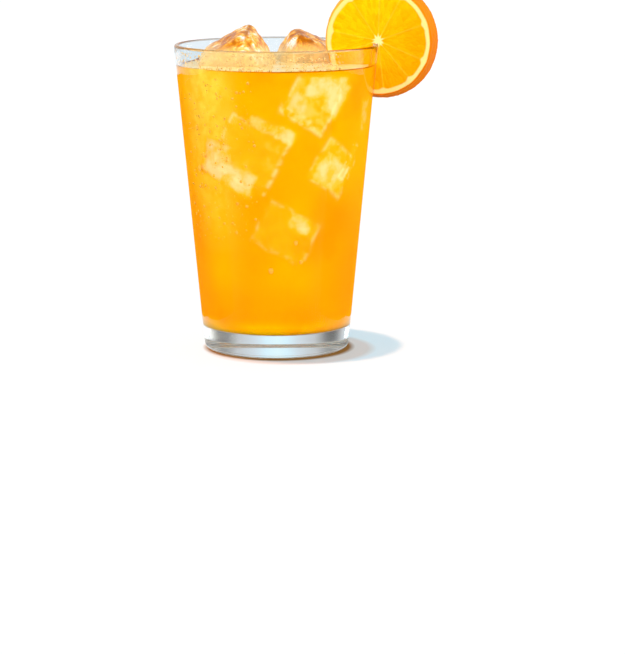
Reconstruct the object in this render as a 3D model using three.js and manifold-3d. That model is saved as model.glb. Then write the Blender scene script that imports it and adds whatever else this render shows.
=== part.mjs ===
// A tumbler of orange juice with two ice cubes at the top and an orange slice on its rim.
// Millimetres, +Z up. The origin is the middle of the foot, on the table.
// The slice hangs on the rim at +X, and the drink is seen from -Y.
import * as THREE from 'three';
import { mergeVertices } from 'three/addons/utils/BufferGeometryUtils.js';
import Module from 'manifold-3d';

// Tumbler
const GLASS_HEIGHT = 135.6;
const RIM_RADIUS = 45;
const BASE_RADIUS = 32.2; // the straight outer wall, carried on down to the table
const WALL = 2;
const HEEL_RADIUS = 2.2;
const FLOOR_THICKNESS = 10.5;
const FLOOR_FILLET = 4.5;
const LATHE_STEPS = 64;

// Juice
const JUICE_LEVEL = 126.5;
const CLEARANCE = 0.3; // between the drink, the wall, the ice and the slice

// Ice cubes that stand out of the drink: edges, centre and turn in degrees about X, Y and Z
const ICE_LEFT = { edges: [27, 23, 25], centre: [-16.9, 1.2, 126.6], turn: [10, -30, -8], squareness: 7 };
const ICE_RIGHT = { edges: [25, 20, 25], centre: [13.5, 21.0, 125.3], turn: [8, 29, 10], squareness: 5.5 };
const ICE_GRID = 8;
const ICE_DENT = 0.022; // depth of the melted hollows, as a share of the cube
const ICE_WAVES = [2.9, 2.3, 2.6]; // radians of the hollows' swell along half of each edge

// Orange slice: a wheel cut a little off the middle of the fruit, so its front face is the smaller
const SLICE_CENTRE = [46, 0.4, 137.1];
const SLICE_TURN = 16.7; // degrees about the vertical, right-hand edge towards the front
const SLICE_FRONT_RADIUS = 24.2;
const SLICE_BACK_RADIUS = 25.6;
const SLICE_THICKNESS = 7;
const RIND_ROUNDING = 1;
const FLESH_RADIUS = 20.4;
const SEGMENTS = 10;
const SEGMENT_PHASE = 0.35; // radians from the right-hand side to the first membrane
const SEGMENT_SWAY = 0.105; // radians by which the membranes stray from an even spacing
const SEGMENT_SWAY_WAVE = 1.9; // radians of that sway from one membrane to the next
const SEGMENT_INNER_RADIUS = 3.2;
const SEGMENT_CORNER = 2.6;
const MEMBRANE = 0.8;
const FLESH_DEPTH = 0.4; // flesh below the membranes and the pith

const wasm = await Module();
wasm.setup();

function polar(radius, angle) {
  return new THREE.Vector2(radius * Math.cos(angle), radius * Math.sin(angle));
}

function arc(centreX, centreY, radius, from, to, steps) {
  const points = [];
  for (let i = 0; i <= steps; i += 1) {
    const angle = from + ((to - from) * i) / steps;
    points.push(polar(radius, angle).add(new THREE.Vector2(centreX, centreY)));
  }
  return points;
}

// Closed geometry with shared corners, without the flattened triangles at the poles
function weld(geometry) {
  const bare = geometry.clone();
  bare.deleteAttribute('normal');
  bare.deleteAttribute('uv');
  const merged = mergeVertices(bare, 1e-4);
  const kept = [];
  const index = merged.index.array;
  for (let i = 0; i < index.length; i += 3) {
    const [a, b, c] = [index[i], index[i + 1], index[i + 2]];
    if (a !== b && b !== c && c !== a) kept.push(a, b, c);
  }
  merged.setIndex(kept);
  return merged;
}

function toSolid(geometry) {
  const closed = weld(geometry);
  return new wasm.Manifold(new wasm.Mesh({
    numProp: 3,
    vertProperties: new Float32Array(closed.attributes.position.array),
    triVerts: new Uint32Array(closed.index.array),
  }));
}

function toGeometry(solid) {
  const mesh = solid.getMesh();
  const geometry = new THREE.BufferGeometry();
  geometry.setAttribute('position', new THREE.BufferAttribute(new Float32Array(mesh.vertProperties), 3));
  geometry.setIndex(Array.from(mesh.triVerts));
  geometry.computeVertexNormals();
  return geometry;
}

// Turns a profile of radius and height about the vertical
function turned(profile) {
  return new THREE.LatheGeometry(profile, LATHE_STEPS).rotateX(Math.PI / 2);
}

// Tumbler: a straight tapered wall with a full-round lip on a thick floor
const wallSlope = (RIM_RADIUS - BASE_RADIUS) / GLASS_HEIGHT;
const outerRadius = (height) => BASE_RADIUS + wallSlope * height;
const innerRadius = (height) => outerRadius(height) - WALL;
const wallLean = Math.atan(wallSlope);

function glassGeometry() {
  const lip = WALL / 2;
  const lipHeight = GLASS_HEIGHT - lip;
  const heelCentre = outerRadius(HEEL_RADIUS) - HEEL_RADIUS;
  const filletHeight = FLOOR_THICKNESS + FLOOR_FILLET;
  const filletCentre = innerRadius(filletHeight) - FLOOR_FILLET;
  const profile = [
    new THREE.Vector2(0, 0),
    ...arc(heelCentre, HEEL_RADIUS, HEEL_RADIUS, -Math.PI / 2, -wallLean, 5),
    ...arc(outerRadius(lipHeight) - lip, lipHeight, lip, -wallLean, Math.PI - wallLean, 8),
    ...arc(filletCentre, filletHeight, FLOOR_FILLET, -wallLean, -Math.PI / 2, 6),
    new THREE.Vector2(0, FLOOR_THICKNESS),
  ];
  return turned(profile);
}

// The ring of wall that the slice is slit for
function slitRing() {
  const foot = JUICE_LEVEL - 2 * SLICE_BACK_RADIUS;
  const top = GLASS_HEIGHT + CLEARANCE;
  const profile = [
    new THREE.Vector2(innerRadius(foot) - CLEARANCE, foot),
    new THREE.Vector2(outerRadius(foot) + CLEARANCE, foot),
    new THREE.Vector2(outerRadius(GLASS_HEIGHT) + CLEARANCE, top),
    new THREE.Vector2(innerRadius(GLASS_HEIGHT) - CLEARANCE, top),
  ];
  profile.push(profile[0].clone());
  return turned(profile);
}

// Ice: a cube with rounded edges whose faces have melted into shallow hollows
function iceGeometry({ edges, centre, turn, squareness }, grow = 0) {
  const geometry = new THREE.BoxGeometry(2, 2, 2, ICE_GRID, ICE_GRID, ICE_GRID);
  const position = geometry.attributes.position;
  const half = new THREE.Vector3(...edges).divideScalar(2).addScalar(grow);
  const point = new THREE.Vector3();
  const crowd = (t) => Math.sin((t * Math.PI) / 2); // grid lines crowd towards the edges
  for (let i = 0; i < position.count; i += 1) {
    point.fromBufferAttribute(position, i);
    point.set(crowd(point.x), crowd(point.y), crowd(point.z));
    const [x, y, z] = point.toArray();
    const size = [x, y, z].reduce((sum, t) => sum + Math.abs(t) ** squareness, 0);
    const swell = [x, y, z].map((t, axis) => Math.sin(ICE_WAVES[axis] * t + axis));
    const dent = swell[0] * swell[1] + swell[2];
    point.multiplyScalar((1 + ICE_DENT * dent) / size ** (1 / squareness)).multiply(half);
    position.setXYZ(i, point.x, point.y, point.z);
  }
  const angles = turn.map(THREE.MathUtils.degToRad);
  const place = new THREE.Matrix4().makeRotationFromEuler(new THREE.Euler(...angles));
  return geometry.applyMatrix4(place.setPosition(...centre));
}

// Slice: its own axis is Y, front face up, and this matrix stands it on the rim
function slicePlace() {
  const angle = THREE.MathUtils.degToRad(SLICE_TURN);
  const right = new THREE.Vector3(Math.cos(angle), -Math.sin(angle), 0);
  const front = new THREE.Vector3(-Math.sin(angle), -Math.cos(angle), 0);
  const down = new THREE.Vector3().crossVectors(right, front);
  return new THREE.Matrix4().makeBasis(right, front, down).setPosition(...SLICE_CENTRE);
}

function sliceDisc(grow = 0) {
  const half = SLICE_THICKNESS / 2 + grow;
  const back = SLICE_BACK_RADIUS + grow;
  const front = SLICE_FRONT_RADIUS + grow;
  const round = RIND_ROUNDING;
  const profile = [
    new THREE.Vector2(0, -half),
    ...arc(back - round, round - half, round, -Math.PI / 2, 0, 3),
    ...arc(front - round, half - round, round, 0, Math.PI / 2, 3),
    new THREE.Vector2(0, half),
  ];
  return new THREE.LatheGeometry(profile, LATHE_STEPS).applyMatrix4(slicePlace());
}

// Angle of the membrane between two segments
function membraneAngle(i) {
  const turn = i % SEGMENTS;
  const even = SEGMENT_PHASE + (2 * Math.PI * i) / SEGMENTS;
  return even + SEGMENT_SWAY * Math.sin(SEGMENT_SWAY_WAVE * turn);
}

// The hollow over one segment's flesh, on the front face (1) or the back face (-1)
function segmentHollow(i, face) {
  const low = (radius) => membraneAngle(i) + Math.asin(MEMBRANE / 2 / radius);
  const high = (radius) => membraneAngle(i + 1) - Math.asin(MEMBRANE / 2 / radius);
  const bend = FLESH_RADIUS - SEGMENT_CORNER;
  const cornerAngle = SEGMENT_CORNER / FLESH_RADIUS;
  const outline = new THREE.Shape();
  const curveTo = (control, end) => outline.quadraticCurveTo(control.x, control.y, end.x, end.y);
  outline.moveTo(...polar(SEGMENT_INNER_RADIUS, low(SEGMENT_INNER_RADIUS)).toArray());
  outline.lineTo(...polar(bend, low(bend)).toArray());
  curveTo(polar(FLESH_RADIUS, low(FLESH_RADIUS)), polar(FLESH_RADIUS, low(FLESH_RADIUS) + cornerAngle));
  outline.absarc(0, 0, FLESH_RADIUS, low(FLESH_RADIUS) + cornerAngle, high(FLESH_RADIUS) - cornerAngle);
  curveTo(polar(FLESH_RADIUS, high(FLESH_RADIUS)), polar(bend, high(bend)));
  outline.lineTo(...polar(SEGMENT_INNER_RADIUS, high(SEGMENT_INNER_RADIUS)).toArray());
  const depth = 2 * FLESH_DEPTH;
  const settings = { depth, bevelEnabled: false, curveSegments: 3, steps: 1 };
  const hollow = new THREE.ExtrudeGeometry(outline, settings).rotateX(-Math.PI / 2);
  hollow.translate(0, (face * SLICE_THICKNESS) / 2 - depth / 2, 0);
  return hollow.applyMatrix4(slicePlace());
}

function sliceGeometry() {
  let slice = toSolid(sliceDisc());
  for (let i = 0; i < SEGMENTS; i += 1) {
    for (const face of [-1, 1]) slice = slice.subtract(toSolid(segmentHollow(i, face)));
  }
  return toGeometry(slice.subtract(toSolid(slitRing())));
}

// Juice: fills the tumbler to its level, round the ice and the lower part of the slice
function juiceGeometry() {
  const floor = FLOOR_THICKNESS + CLEARANCE;
  const filletHeight = FLOOR_THICKNESS + FLOOR_FILLET;
  const filletCentre = innerRadius(filletHeight) - FLOOR_FILLET;
  const profile = [
    new THREE.Vector2(0, floor),
    ...arc(filletCentre, filletHeight, FLOOR_FILLET - CLEARANCE, -Math.PI / 2, -wallLean, 6),
    new THREE.Vector2(innerRadius(JUICE_LEVEL) - CLEARANCE, JUICE_LEVEL),
    new THREE.Vector2(0, JUICE_LEVEL),
  ];
  let juice = toSolid(turned(profile));
  for (const cube of [ICE_LEFT, ICE_RIGHT]) {
    juice = juice.subtract(toSolid(iceGeometry(cube, CLEARANCE)));
  }
  return toGeometry(juice.subtract(toSolid(sliceDisc(CLEARANCE))));
}

const clearGlass = new THREE.MeshStandardMaterial({
  color: 0xe6f1f3, roughness: 0.03, metalness: 0, transparent: true, opacity: 0.3,
});
const orangeJuice = new THREE.MeshStandardMaterial({ color: 0xffb000, roughness: 0.1, metalness: 0 });
const clearIce = new THREE.MeshStandardMaterial({
  color: 0xfbe6c4, roughness: 0.1, metalness: 0, transparent: true, opacity: 0.6,
});
const orangeFlesh = new THREE.MeshStandardMaterial({ color: 0xffa814, roughness: 0.45, metalness: 0 });

const drink = new THREE.Group();

function addPiece(name, geometry, material) {
  const piece = new THREE.Mesh(geometry, material);
  piece.name = name;
  drink.add(piece);
}

addPiece('glass', glassGeometry(), clearGlass);
addPiece('juice', juiceGeometry(), orangeJuice);
addPiece('ice_left', iceGeometry(ICE_LEFT), clearIce);
addPiece('ice_right', iceGeometry(ICE_RIGHT), clearIce);
addPiece('orange_slice', sliceGeometry(), orangeFlesh);

export default drink;
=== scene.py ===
import math

import bmesh
import bpy
import numpy as np
from mathutils import Matrix, Vector, noise
from mathutils.kdtree import KDTree


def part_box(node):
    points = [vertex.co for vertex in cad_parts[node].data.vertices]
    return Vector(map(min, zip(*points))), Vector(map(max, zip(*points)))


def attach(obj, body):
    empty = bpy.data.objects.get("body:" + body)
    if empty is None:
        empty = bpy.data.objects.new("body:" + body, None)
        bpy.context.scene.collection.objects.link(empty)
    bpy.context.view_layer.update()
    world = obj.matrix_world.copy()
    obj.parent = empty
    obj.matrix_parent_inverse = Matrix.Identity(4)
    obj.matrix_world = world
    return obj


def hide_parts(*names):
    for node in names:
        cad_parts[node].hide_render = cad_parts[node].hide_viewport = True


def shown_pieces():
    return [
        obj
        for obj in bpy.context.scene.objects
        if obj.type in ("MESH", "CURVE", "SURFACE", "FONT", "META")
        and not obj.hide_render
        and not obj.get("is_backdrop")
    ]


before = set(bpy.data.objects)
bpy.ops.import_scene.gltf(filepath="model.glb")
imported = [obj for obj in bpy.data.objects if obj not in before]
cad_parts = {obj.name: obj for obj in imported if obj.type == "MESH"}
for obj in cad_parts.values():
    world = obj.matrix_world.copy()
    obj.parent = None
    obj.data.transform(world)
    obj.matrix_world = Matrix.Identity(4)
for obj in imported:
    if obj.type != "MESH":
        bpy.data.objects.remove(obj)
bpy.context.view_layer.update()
scene = bpy.context.scene
MM = 0.001


# Studio
# A pale table that glows a little, in a bright room, lit from above and from all four sides.
# Amber cards beside the drink show in its reflections only. None of this is part of the drink.
CAMERA_DISTANCE = 1110 * MM
CAMERA_HEIGHT = 219.7 * MM
CAMERA_YAW = 0.01456
CAMERA_PITCH = 0.18811
FOCAL_LENGTH_PIXELS = 2507.6
IMAGE_HEIGHT_PIXELS = 654
SENSOR = 36
FLOOR_SIZE = 30
FLOOR_DROP = 0.2 * MM
SUN_WAY = (0.11, 0.02, -1)
# Painted shade on the table near the foot: middle, reach of full shade and of none, and tone
CONTACT_SHADES = [
    ((6 * MM, -5 * MM, 0), (35 * MM, 39 * MM), "#F8E2D8"),
    ((1 * MM, -1 * MM, 0), (31.6 * MM, 34.5 * MM), "#A8783C"),
]


def linear(hex_colour):
    """The linear colour of an sRGB hex value, with full alpha."""
    shares = [int(hex_colour[i:i + 2], 16) / 255 for i in (1, 3, 5)]
    return [s / 12.92 if s <= 0.04045 else ((s + 0.055) / 1.055) ** 2.4 for s in shares] + [1.0]


def add_node(tree, kind, inputs=None, **settings):
    """Adds a node with its settings, and fills its inputs with values, nodes or outputs."""
    made = tree.nodes.new(kind)
    for name, value in settings.items():
        setattr(made, name, value)
    for name, value in (inputs or {}).items():
        socket = made.inputs[name]
        if isinstance(value, bpy.types.Node):
            value = value.outputs[0]
        if isinstance(value, bpy.types.NodeSocket):
            tree.links.new(value, socket)
        else:
            socket.default_value = value
    return made


def new_material(name):
    """An empty node material, its tree and its output node."""
    material = bpy.data.materials.new(name)
    material.use_nodes = True
    tree = material.node_tree
    tree.nodes.clear()
    return material, tree, tree.nodes.new("ShaderNodeOutputMaterial")


def set_stops(ramp, stops):
    """Gives a colour ramp its stops, each a place and a colour."""
    elements = ramp.color_ramp.elements
    for element, (place, colour) in zip(elements, (stops[0], stops[-1])):
        element.position = place
        element.color = linear(colour)
    for place, colour in stops[1:-1]:
        elements.new(place).color = linear(colour)


def new_piece(name, vertices, faces, material=None, edges=()):
    """An object at the origin with that mesh, smooth shaded."""
    mesh = bpy.data.meshes.new(name)
    mesh.from_pydata([tuple(v) for v in vertices], list(edges), [tuple(f) for f in faces])
    mesh.polygons.foreach_set("use_smooth", [True] * len(mesh.polygons))
    if material:
        mesh.materials.append(material)
    piece = bpy.data.objects.new(name, mesh)
    scene.collection.objects.link(piece)
    return piece


drink = bpy.data.collections.new("drink")
table_top = bpy.data.collections.new("table_top")
shadow_makers = bpy.data.collections.new("shadow_makers")


def add_lamp(name, place, target, size, power, colour):
    """A rectangular lamp that shines from place to target on the drink alone."""
    lamp = bpy.data.lights.new(name, "AREA")
    lamp.shape = "RECTANGLE"
    lamp.size, lamp.size_y = size
    lamp.energy = power
    lamp.color = linear(colour)[:3]
    holder = bpy.data.objects.new(name, lamp)
    holder.location = place
    holder.rotation_euler = (Vector(target) - Vector(place)).to_track_quat("-Z", "Y").to_euler()
    holder.visible_camera = False
    holder.light_linking.receiver_collection = drink
    scene.collection.objects.link(holder)
    return holder


room = bpy.data.worlds.new("bright_room")
room.use_nodes = True
room_tree = room.node_tree
room_tree.nodes.clear()
room_way = add_node(room_tree, "ShaderNodeTexCoord")
room_axes = add_node(room_tree, "ShaderNodeSeparateXYZ", {0: room_way.outputs["Generated"]})
room_rise = add_node(
    room_tree, "ShaderNodeMapRange", {"Value": room_axes.outputs["Z"], "From Min": 0.1, "From Max": 0.6}
)
room_colour = add_node(
    room_tree, "ShaderNodeMix",
    {0: room_rise, 6: linear("#F2F0EC"), 7: linear("#BCE0F4")}, data_type="RGBA",
)
room_light = add_node(
    room_tree, "ShaderNodeBackground", {"Color": room_colour.outputs[2], "Strength": 1.0}
)
add_node(room_tree, "ShaderNodeOutputWorld", {"Surface": room_light})
scene.world = room
scene.view_settings.view_transform = "Standard"
scene.cycles.max_bounces = 24
scene.cycles.transmission_bounces = 24
scene.cycles.glossy_bounces = 8
scene.cycles.diffuse_bounces = 8

# White laminate, matt and faintly mottled, that glows enough to stay white in the picture
table_white, table_tree, table_output = new_material("white_table_laminate")
table_mottle = add_node(table_tree, "ShaderNodeTexNoise", {"Scale": 1 / (40 * MM), "Detail": 3.0})
table_shade = add_node(
    table_tree, "ShaderNodeMix",
    {0: table_mottle, 6: linear("#9D9D9D"), 7: linear("#A1A1A1")}, data_type="RGBA",
)
table_place = add_node(table_tree, "ShaderNodeTexCoord")
table_colour = {"base": table_shade.outputs[2], "glow": linear("#ACC2CB")}
# Painted contact shade round the foot, laid into the table's colour and its glow
for shade_centre, shade_reach, shade_tone in CONTACT_SHADES:
    from_centre = add_node(
        table_tree, "ShaderNodeVectorMath",
        {0: table_place.outputs["Object"], 1: shade_centre}, operation="DISTANCE",
    )
    shade_share = add_node(
        table_tree, "ShaderNodeMapRange",
        {"Value": from_centre.outputs["Value"], "From Min": shade_reach[1], "From Max": shade_reach[0]},
    )
    for layer in table_colour:
        table_colour[layer] = add_node(
            table_tree, "ShaderNodeMix",
            {0: shade_share, 6: table_colour[layer], 7: linear(shade_tone)},
            data_type="RGBA", blend_type="MULTIPLY",
        ).outputs[2]
table_surface = add_node(
    table_tree, "ShaderNodeBsdfPrincipled",
    {
        "Base Color": table_colour["base"], "Roughness": 0.8, "Specular IOR Level": 0.1,
        "Emission Color": table_colour["glow"], "Emission Strength": 1.0,
    },
)
table_tree.links.new(table_surface.outputs[0], table_output.inputs["Surface"])
half = FLOOR_SIZE / 2
corners = [(-half, -half), (half, -half), (half, half), (-half, half)]
table = new_piece("table", [(x, y, -FLOOR_DROP) for x, y in corners], [(0, 1, 2, 3)], table_white)
table_top.objects.link(table)
table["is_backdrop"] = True

for name, receivers, power, width, colour in (
    ("lamp_over_drink", drink, 1.6, 14, "#FFE2C4"), ("lamp_over_table", table_top, 3.9, 2.5, "#FFC8A6"),
):
    sun = bpy.data.lights.new(name, "SUN")
    sun.energy = power
    sun.angle = math.radians(width)
    sun.color = linear(colour)[:3]
    sun_holder = bpy.data.objects.new(name, sun)
    sun_holder.rotation_euler = Vector(SUN_WAY).to_track_quat("-Z", "Y").to_euler()
    sun_holder.visible_transmission = False
    sun_holder.visible_glossy = False
    sun_holder.light_linking.receiver_collection = receivers
    sun_holder.light_linking.blocker_collection = shadow_makers if receivers == table_top else drink
    scene.collection.objects.link(sun_holder)
add_lamp("front_lamp", (0.1, -1.6, 0.36), (0, 0, 0.08), (1.2, 0.5), 17, "#FFEBD6")
add_lamp("left_lamp", (-0.9, -0.25, 0.30), (0, 0, 0.08), (0.5, 0.5), 4.4, "#FFF4E8")
add_lamp("right_lamp", (0.9, -0.25, 0.30), (0, 0, 0.08), (0.5, 0.5), 5.4, "#FFF4E8")
back_lamp = add_lamp("back_lamp", (0, 1.6, 0.20), (0, 0, 0.05), (1.2, 0.3), 6, "#FFE8D0")
back_lamp.visible_glossy = False
back_lamp.visible_transmission = False

# Glowing amber cards on both sides of the drink, for the warm reflections along its edges
CARD_HEIGHT = 116 * MM
CARD_LINE = [(75 * MM, -50 * MM), (75 * MM, 30 * MM), (40 * MM, 80 * MM)]
amber_card, card_tree, card_output = new_material("amber_card")
card_surface = add_node(card_tree, "ShaderNodeEmission", {"Color": linear("#FFBE20"), "Strength": 0.9})
card_tree.links.new(card_surface.outputs[0], card_output.inputs["Surface"])
for name, side in (("left_card", -1), ("right_card", 1)):
    foot = [(x * side, y, 0) for x, y in CARD_LINE]
    head = [(x * side, y, CARD_HEIGHT) for x, y in CARD_LINE]
    wide = len(CARD_LINE)
    panels = [(i, i + 1, i + 1 + wide, i + wide) for i in range(wide - 1)]
    card = new_piece(name, foot + head, panels, amber_card)
    card.visible_camera = False
    card.visible_shadow = False
    card.visible_diffuse = False
    card.visible_transmission = False
    card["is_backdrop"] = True

# A low glowing card against the back of the foot, pale in the middle and dark at its ends,
# gives the thick base its greys: painted shade, seen through the glass
FOOT_CARD_RADII = (32.5 * MM, 33.8 * MM)
FOOT_CARD_HEIGHT = 14 * MM
FOOT_CARD_HALF_ANGLE = 50
FOOT_CARD_STEPS = 40
FOOT_CARD_DARK_FROM = 8 * MM
grey_card, grey_tree, grey_output = new_material("grey_card")
grey_place = add_node(grey_tree, "ShaderNodeTexCoord")
grey_axes = add_node(grey_tree, "ShaderNodeSeparateXYZ", {0: grey_place.outputs["Object"]})
grey_aside = add_node(grey_tree, "ShaderNodeMath", {0: grey_axes.outputs["X"]}, operation="ABSOLUTE")
grey_share = add_node(
    grey_tree, "ShaderNodeMapRange", {"Value": grey_aside, "From Max": FOOT_CARD_DARK_FROM}
)
grey_tone = add_node(grey_tree, "ShaderNodeValToRGB", {"Fac": grey_share})
set_stops(
    grey_tone,
    [
        (0, "#F4FFFF"), (0.2, "#ECFAFF"), (0.4, "#E4E4E8"), (0.68, "#D4CCCA"),
        (0.76, "#B2A9A5"), (0.84, "#6A625E"), (1, "#605854"),
    ],
)
grey_surface = add_node(
    grey_tree, "ShaderNodeEmission", {"Color": grey_tone.outputs["Color"], "Strength": 1.1}
)
grey_tree.links.new(grey_surface.outputs[0], grey_output.inputs["Surface"])
edges = []
for radius, height in zip(FOOT_CARD_RADII, (0, FOOT_CARD_HEIGHT)):
    for step in range(FOOT_CARD_STEPS + 1):
        angle = math.radians(FOOT_CARD_HALF_ANGLE * (2 * step / FOOT_CARD_STEPS - 1))
        edges.append((radius * math.sin(angle), radius * math.cos(angle), height))
wide = FOOT_CARD_STEPS + 1
panels = [(i, i + 1, i + 1 + wide, i + wide) for i in range(FOOT_CARD_STEPS)]
card = new_piece("foot_card", edges, panels, grey_card)
card.visible_camera = False
card.visible_shadow = False
card.visible_glossy = False
card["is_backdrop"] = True

camera_data = bpy.data.cameras.new("camera")
camera_data.sensor_width = SENSOR
camera_data.lens = FOCAL_LENGTH_PIXELS / IMAGE_HEIGHT_PIXELS * SENSOR
camera = bpy.data.objects.new("camera", camera_data)
camera.location = (0, -CAMERA_DISTANCE, CAMERA_HEIGHT)
aim = Vector((
    math.sin(CAMERA_YAW) * math.cos(CAMERA_PITCH),
    math.cos(CAMERA_YAW) * math.cos(CAMERA_PITCH),
    -math.sin(CAMERA_PITCH),
))
camera.rotation_euler = aim.to_track_quat("-Z", "Y").to_euler()
scene.collection.objects.link(camera)
scene.camera = camera


# Tumbler
# A pressed soda-lime drinking glass: straight tapered wall with a fire-polished round lip,
# a thick clear base and a small rounded heel.
GLASS_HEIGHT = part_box("glass")[1].z
RIM_RADIUS = 45 * MM
BASE_RADIUS = 32.2 * MM
WALL = 2 * MM
HEEL_RADIUS = 2.2 * MM
FLOOR_THICKNESS = 10.5 * MM
FLOOR_FILLET = 4.5 * MM
RING_SPACING = 4 * MM
TURNED_STEPS = 320
HEEL_STEPS = 12
LIP_STEPS = 24
FILLET_STEPS = 14
SEAM_WELD = 0.002 * MM
SMALLEST_EDGE = 0.001 * MM
wall_slope = (RIM_RADIUS - BASE_RADIUS) / GLASS_HEIGHT
wall_lean = math.atan(wall_slope)


def inner_radius(height):
    """Inside of the wall at a height."""
    return BASE_RADIUS + wall_slope * height - WALL


def arc(centre, radius, start, end, steps):
    """Points of a profile along an arc, as radius and height."""
    angles = [start + (end - start) * i / steps for i in range(steps + 1)]
    return [(centre[0] + radius * math.cos(a), centre[1] + radius * math.sin(a)) for a in angles]


def with_rings(points, spacing):
    """The same profile with a point at least every spacing, so that long walls shade evenly."""
    filled = [points[0]]
    for start, end in zip(points, points[1:]):
        count = max(1, math.ceil(math.dist(start, end) / spacing))
        for i in range(1, count + 1):
            filled.append(tuple(s + (e - s) * i / count for s, e in zip(start, end)))
    return filled


# The node tree that turns a profile about the vertical axis, as a lathe or a mould does
turning = bpy.data.node_groups.new("turned_about_the_axis", "GeometryNodeTree")
turning.interface.new_socket("Profile", in_out="INPUT", socket_type="NodeSocketGeometry")
turning_steps = turning.interface.new_socket("Steps", in_out="INPUT", socket_type="NodeSocketInt")
turning_material = turning.interface.new_socket(
    "Material", in_out="INPUT", socket_type="NodeSocketMaterial"
)
turning.interface.new_socket("Body", in_out="OUTPUT", socket_type="NodeSocketGeometry")
given = add_node(turning, "NodeGroupInput")
profile_size = add_node(turning, "GeometryNodeAttributeDomainSize", {0: given.outputs["Profile"]})
columns = add_node(turning, "ShaderNodeMath", {0: given.outputs["Steps"], 1: 1.0}, operation="ADD")
sheet = add_node(
    turning, "GeometryNodeMeshGrid",
    {"Vertices X": columns, "Vertices Y": profile_size.outputs["Point Count"]},
)
index = add_node(turning, "GeometryNodeInputIndex")
row = add_node(
    turning, "ShaderNodeMath", {0: index, 1: profile_size.outputs["Point Count"]}, operation="MODULO"
)
column_share = add_node(
    turning, "ShaderNodeMath", {0: index, 1: profile_size.outputs["Point Count"]}, operation="DIVIDE"
)
column = add_node(turning, "ShaderNodeMath", {0: column_share}, operation="FLOOR")
turn_share = add_node(
    turning, "ShaderNodeMath", {0: column, 1: given.outputs["Steps"]}, operation="DIVIDE"
)
turn = add_node(turning, "ShaderNodeMath", {0: turn_share, 1: 2 * math.pi}, operation="MULTIPLY")
place = add_node(turning, "GeometryNodeInputPosition")
on_profile = add_node(
    turning, "GeometryNodeSampleIndex",
    {"Geometry": given.outputs["Profile"], "Value": place, "Index": row},
    data_type="FLOAT_VECTOR", domain="POINT",
)
turned_place = add_node(
    turning, "ShaderNodeVectorRotate", {"Vector": on_profile, "Angle": turn}, rotation_type="Z_AXIS"
)
bent = add_node(
    turning, "GeometryNodeSetPosition", {"Geometry": sheet.outputs["Mesh"], "Position": turned_place}
)
closed = add_node(turning, "GeometryNodeMergeByDistance", {"Geometry": bent, "Distance": SEAM_WELD})
smooth = add_node(turning, "GeometryNodeSetShadeSmooth", {"Geometry": closed})
realized = add_node(turning, "GeometryNodeRealizeInstances", {"Geometry": smooth})
finished = add_node(
    turning, "GeometryNodeSetMaterial", {"Geometry": realized, "Material": given.outputs["Material"]}
)
add_node(turning, "NodeGroupOutput", {0: finished})


def settle(piece, material):
    """Turns a piece's modifiers into plain mesh of one material."""
    graph = bpy.context.evaluated_depsgraph_get()
    mesh = bpy.data.meshes.new_from_object(piece.evaluated_get(graph))
    piece.modifiers.clear()
    piece.data = mesh
    mesh.materials.clear()
    mesh.materials.append(material)
    mesh.polygons.foreach_set("material_index", [0] * len(mesh.polygons))


def turned(name, profile, material, spacing=RING_SPACING):
    """A piece turned about the axis from a profile of radius and height."""
    points = with_rings(profile, spacing)
    line = [(i, i + 1) for i in range(len(points) - 1)]
    piece = new_piece(name, [(r, 0, z) for r, z in points], [], edges=line)
    modifier = piece.modifiers.new("turning", "NODES")
    modifier.node_group = turning
    modifier[turning_steps.identifier] = TURNED_STEPS
    modifier[turning_material.identifier] = material
    settle(piece, material)
    shape = bmesh.new()
    shape.from_mesh(piece.data)
    bmesh.ops.dissolve_degenerate(shape, dist=SMALLEST_EDGE, edges=shape.edges)
    bmesh.ops.recalc_face_normals(shape, faces=shape.faces)
    shape.to_mesh(piece.data)
    shape.free()
    return piece


# Soda-lime glass, pressed and fire-polished: clear and bright, with faint ripples left by the mould
clear_glass, glass_tree, glass_output = new_material("soda_lime_glass")
glass_place = add_node(glass_tree, "ShaderNodeTexCoord")
mould_ripple = add_node(
    glass_tree, "ShaderNodeTexNoise",
    {"Vector": glass_place.outputs["Object"], "Scale": 1 / (14 * MM), "Detail": 1.0},
)
glass_axes = add_node(glass_tree, "ShaderNodeSeparateXYZ", {0: glass_place.outputs["Object"]})
above_base = add_node(
    glass_tree, "ShaderNodeMapRange",
    {"Value": glass_axes.outputs["Z"], "From Min": 10 * MM, "From Max": 20 * MM},
)
wall_ripple = add_node(
    glass_tree, "ShaderNodeMath", {0: mould_ripple, 1: above_base}, operation="MULTIPLY"
)
glass_ripple = add_node(
    glass_tree, "ShaderNodeBump", {"Strength": 0.12, "Distance": 0.15 * MM, "Height": wall_ripple}
)
# The empty wall above the juice is a little greyer, and the lip is painted darker, a painted shade along
# the rim
above_juice = add_node(
    glass_tree, "ShaderNodeMapRange",
    {"Value": glass_axes.outputs["Z"], "From Min": 126 * MM, "From Max": 128 * MM},
)
lip_shade_share = add_node(
    glass_tree, "ShaderNodeMapRange",
    {
        "Value": glass_axes.outputs["Z"],
        "From Min": GLASS_HEIGHT - 0.9 * MM, "From Max": GLASS_HEIGHT - 0.5 * MM,
    },
)
glass_colour = linear("#EEF8FC")
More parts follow.
